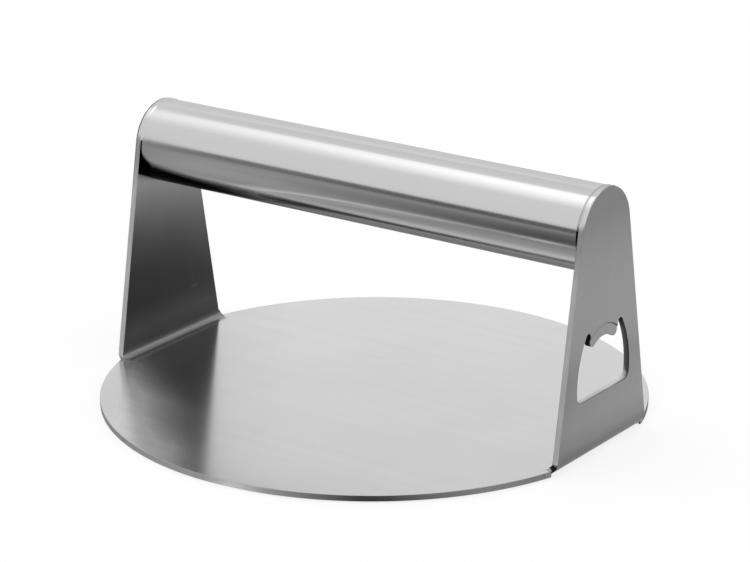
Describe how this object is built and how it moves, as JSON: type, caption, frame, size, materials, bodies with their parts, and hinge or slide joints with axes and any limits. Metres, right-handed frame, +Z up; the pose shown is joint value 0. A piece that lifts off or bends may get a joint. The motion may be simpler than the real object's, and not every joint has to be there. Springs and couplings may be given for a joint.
{
  "type": "burger press",
  "caption": "Round flat-disc meat and burger press: a steel plate with uprights folded up from it, a welded tube handle between them and a bottle-opener window in an upright.",
  "frame": {"origin": "centre of the pressing plate's underside", "axes": "+Z up from the pressing plate to the handle, +X along the handle towards the upright with the bottle opener, +Y across the handle"},
  "size_m": [0.1606, 0.165, 0.0796],
  "materials": {
    "brushed_sheet": "fine straight brushing along the handle's direction, edges lightly deburred",
    "polished_tube": "satin-polished tube with a fine lengthwise grain",
    "ground_weld": "weld seam ground flush and polished"
  },
  "bodies": {
    "root": {"folded_sheet": "brushed_sheet", "handle_tube": "polished_tube", "left_weld": "ground_weld", "right_weld": "ground_weld"}
  },
  "joints": []
}
